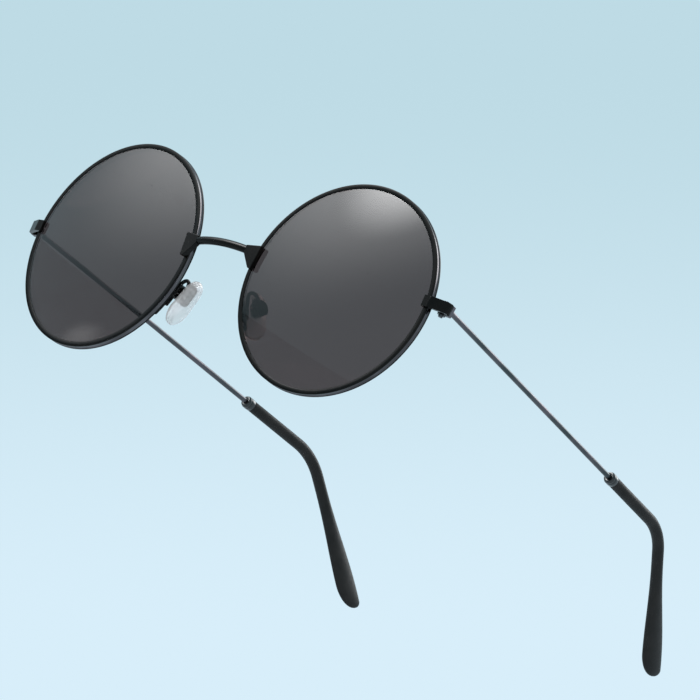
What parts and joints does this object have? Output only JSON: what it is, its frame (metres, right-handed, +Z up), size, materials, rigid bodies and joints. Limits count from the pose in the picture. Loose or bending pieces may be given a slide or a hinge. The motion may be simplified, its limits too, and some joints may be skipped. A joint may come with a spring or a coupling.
{
  "type": "round metal sunglasses",
  "caption": "Sunglasses with round dark lenses in thin metal rims, a bowed bridge, clear nose pads and thin wire temples that fold on screw hinges and end in matte tips.",
  "frame": {"origin": "on the surface the sunglasses stand on, under the middle of their bounding box, with both temples open", "axes": "+X points to the wearer's left and is square to the plane of symmetry, -Y is the front, where the lenses face, and +Z is up, away from the surface that the rims and the temple tips stand on"},
  "size_m": [0.1326, 0.1468, 0.0523],
  "materials": {
    "frame_black": "satin black enamel",
    "temple_gunmetal": "satin gunmetal",
    "dark_screws": "dark steel",
    "collar_black": "gloss black",
    "tip_plastic": "matte charcoal",
    "lens_tint": "polished, dark neutral tint",
    "pad_silicone": "clear, slightly frosted",
    "bright_steel": "satin"
  },
  "bodies": {
    "front": {"bridge": "frame_black", "left_rim": "frame_black", "left_lens": "lens_tint", "left_end_piece": "frame_black", "left_lock_upper": "frame_black", "left_lock_lower": "frame_black", "left_lock_screw": "dark_screws", "left_hinge_front": "frame_black", "left_hinge_screw": "dark_screws", "left_pad_arm": "frame_black", "left_pad_screw": "bright_steel", "right_rim": "frame_black", "right_lens": "lens_tint", "right_end_piece": "frame_black", "right_lock_upper": "frame_black", "right_lock_lower": "frame_black", "right_lock_screw": "dark_screws", "right_hinge_front": "frame_black", "right_hinge_screw": "dark_screws", "right_pad_arm": "frame_black", "right_pad_screw": "bright_steel"},
    "left_temple": {"left_hinge_rear": "temple_gunmetal", "left_temple_wire": "temple_gunmetal", "left_collar": "collar_black", "left_temple_tip": "tip_plastic"},
    "right_temple": {"right_hinge_rear": "temple_gunmetal", "right_temple_wire": "temple_gunmetal", "right_collar": "collar_black", "right_temple_tip": "tip_plastic"},
    "left_pad": {"left_pad_insert": "bright_steel", "left_nose_pad": "pad_silicone"},
    "right_pad": {"right_pad_insert": "bright_steel", "right_nose_pad": "pad_silicone"}
  },
  "joints": [
    {"name": "left_temple_fold", "type": "hinge", "parent": "front", "child": "left_temple", "pos_m": [0.06367, -0.06329, 0.0281], "axis": [0.063, 0.0224, 0.9978], "range_deg": [0, 80]},
    {"name": "right_temple_fold", "type": "hinge", "parent": "front", "child": "right_temple", "pos_m": [-0.06367, -0.06329, 0.0281], "axis": [0.063, -0.0224, -0.9978], "range_deg": [0, 70]},
    {"name": "left_pad_swivel", "type": "hinge", "parent": "front", "child": "left_pad", "pos_m": [0.01252, -0.06413, 0.01908], "axis": [0.2904, 0.9438, 0.1579], "range_deg": [-6, 6]},
    {"name": "right_pad_swivel", "type": "hinge", "parent": "front", "child": "right_pad", "pos_m": [-0.01252, -0.06413, 0.01908], "axis": [-0.2904, 0.9438, 0.1579], "range_deg": [-6, 6]}
  ]
}
